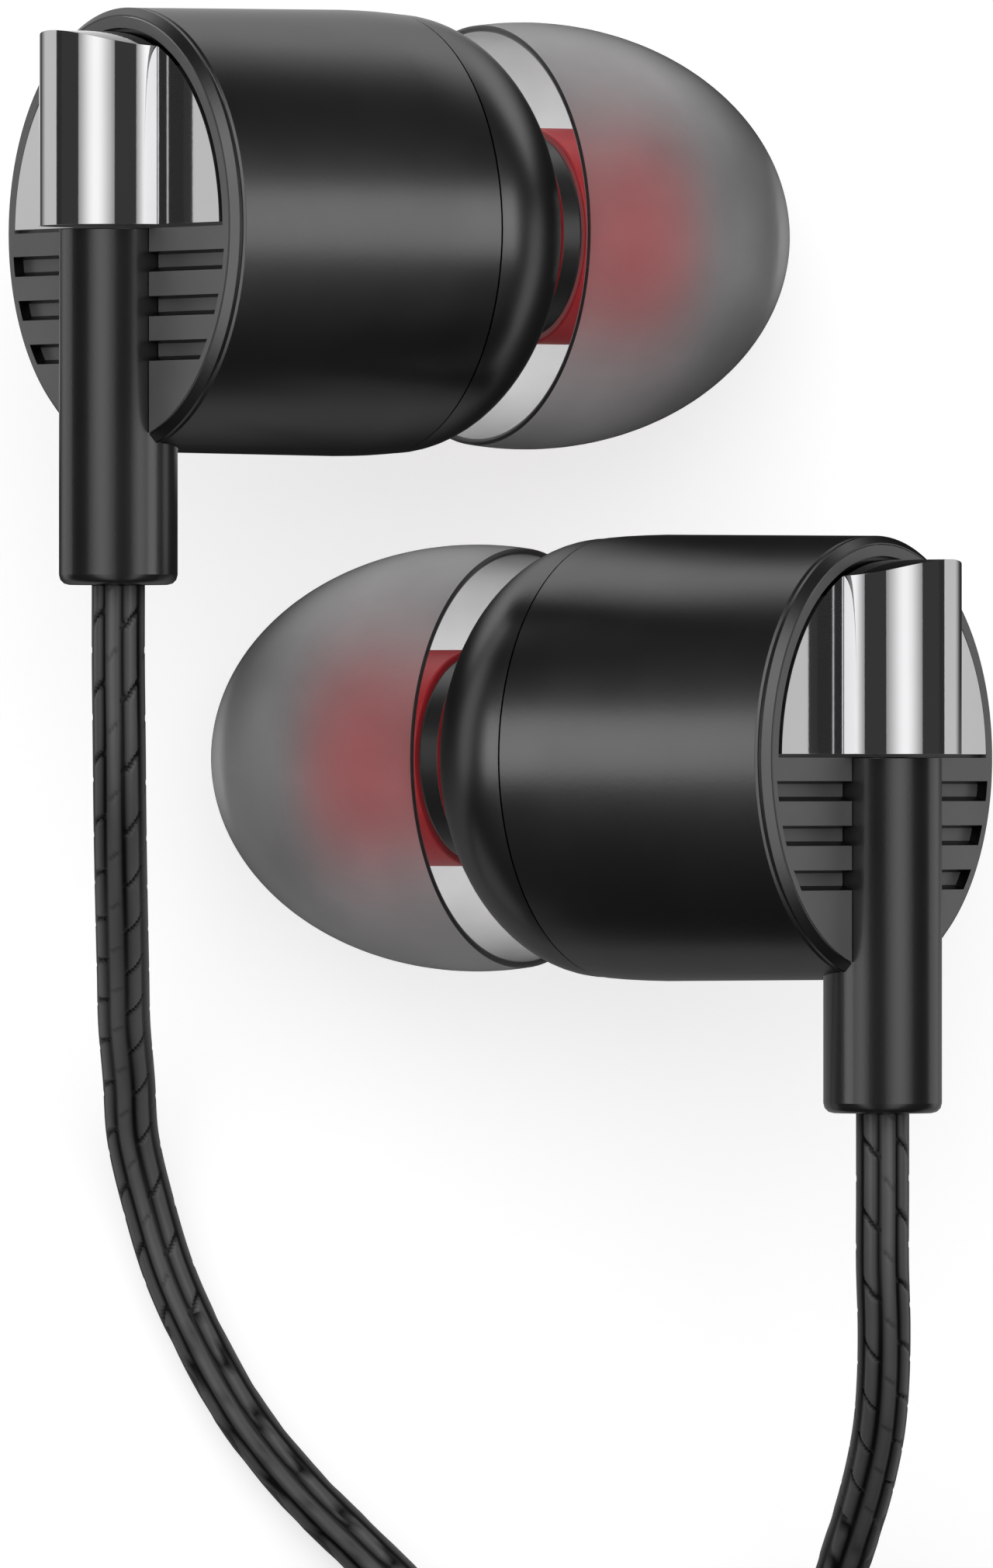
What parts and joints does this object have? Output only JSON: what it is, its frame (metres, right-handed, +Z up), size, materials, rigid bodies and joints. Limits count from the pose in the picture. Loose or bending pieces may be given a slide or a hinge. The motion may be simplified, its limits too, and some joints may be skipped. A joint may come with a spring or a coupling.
{
  "type": "wired in-ear earphones",
  "caption": "Wired in-ear earphones: mirrored earbuds with silicone ear tips, branch cords, a splitter, a coiled main cord and a stereo jack plug.",
  "frame": {"origin": "on the surface it lies on, under the middle of the two earbuds", "axes": "+Z up from the surface, +Y from the stems' ends towards the earbuds, +X from the left earbud towards the right one"},
  "size_m": [0.0397, 0.1236, 0.0188],
  "materials": {
    "housing": "satin black, anodised",
    "plate_black": "satin black moulded plastic",
    "chrome_trim": "chromed, polished",
    "stem_black": "semi-gloss black moulded plastic",
    "accent_red": "glossy dark red",
    "collar_black": "glossy black",
    "steel_mesh": "fine steel screen",
    "tip_red": "satin red silicone",
    "tip_grey": "smoke-grey translucent silicone",
    "driver_black": "matt",
    "driver_steel": "plated steel",
    "magnet_grey": "nickel-plated magnet",
    "copper": "enamelled copper",
    "film": "clear film",
    "board_green": "solder-masked board",
    "cord_black": "satin black rubber",
    "tie_black": "matt black",
    "plug_gold": "gold-plated"
  },
  "bodies": {
    "earphones": {"left_rear_bezel": "housing", "left_rear_plate": "plate_black", "left_trim": "chrome_trim", "left_stem": "stem_black", "left_rear_shell": "housing", "left_front_shell": "housing", "left_accent_ring": "accent_red", "left_nozzle_collar": "collar_black", "left_nozzle_mesh": "steel_mesh", "left_driver_frame": "driver_black", "left_driver_cover": "driver_steel", "left_magnet_cup": "driver_steel", "left_magnet": "magnet_grey", "left_pole_plate": "driver_steel", "left_terminal_board": "board_green", "left_inner_wires": "copper", "left_cable_end": "cord_black", "left_lead": "cord_black", "left_coil": "cord_black", "left_tail": "cord_black", "right_rear_bezel": "housing", "right_rear_plate": "plate_black", "right_trim": "chrome_trim", "right_stem": "stem_black", "right_rear_shell": "housing", "right_front_shell": "housing", "right_accent_ring": "accent_red", "right_nozzle_collar": "collar_black", "right_nozzle_mesh": "steel_mesh", "right_driver_frame": "driver_black", "right_driver_cover": "driver_steel", "right_magnet_cup": "driver_steel", "right_magnet": "magnet_grey", "right_pole_plate": "driver_steel", "right_terminal_board": "board_green", "right_inner_wires": "copper", "right_cable_end": "cord_black", "right_lead": "cord_black", "right_coil": "cord_black", "right_tail": "cord_black", "splitter": "cord_black", "main_lead": "cord_black", "main_coil": "cord_black", "main_tail": "cord_black", "coil_ties": "tie_black", "plug_relief": "cord_black", "plug_grip": "cord_black", "plug_sleeve": "plug_gold", "plug_ring": "plug_gold", "plug_tip": "plug_gold", "plug_insulators": "collar_black"},
    "left_tip": {"left_tip_core": "tip_red", "left_tip_umbrella": "tip_grey"},
    "left_cone": {"left_voice_coil": "copper", "left_diaphragm": "film"},
    "right_tip": {"right_tip_core": "tip_red", "right_tip_umbrella": "tip_grey"},
    "right_cone": {"right_voice_coil": "copper", "right_diaphragm": "film"}
  },
  "joints": [
    {"name": "left_tip_pull", "type": "slide", "parent": "earphones", "child": "left_tip", "axis": [0.848, 0, -0.5299], "range_m": [0, 0.0045]},
    {"name": "left_cone_stroke", "type": "slide", "parent": "earphones", "child": "left_cone", "axis": [0.848, 0, -0.5299], "range_m": [-0.00015, 0.00015], "stiffness_N_per_m": 200},
    {"name": "right_tip_pull", "type": "slide", "parent": "earphones", "child": "right_tip", "axis": [-0.848, 0, -0.5299], "range_m": [0, 0.0045]},
    {"name": "right_cone_stroke", "type": "slide", "parent": "earphones", "child": "right_cone", "axis": [-0.848, 0, -0.5299], "range_m": [-0.00015, 0.00015], "stiffness_N_per_m": 200}
  ]
}
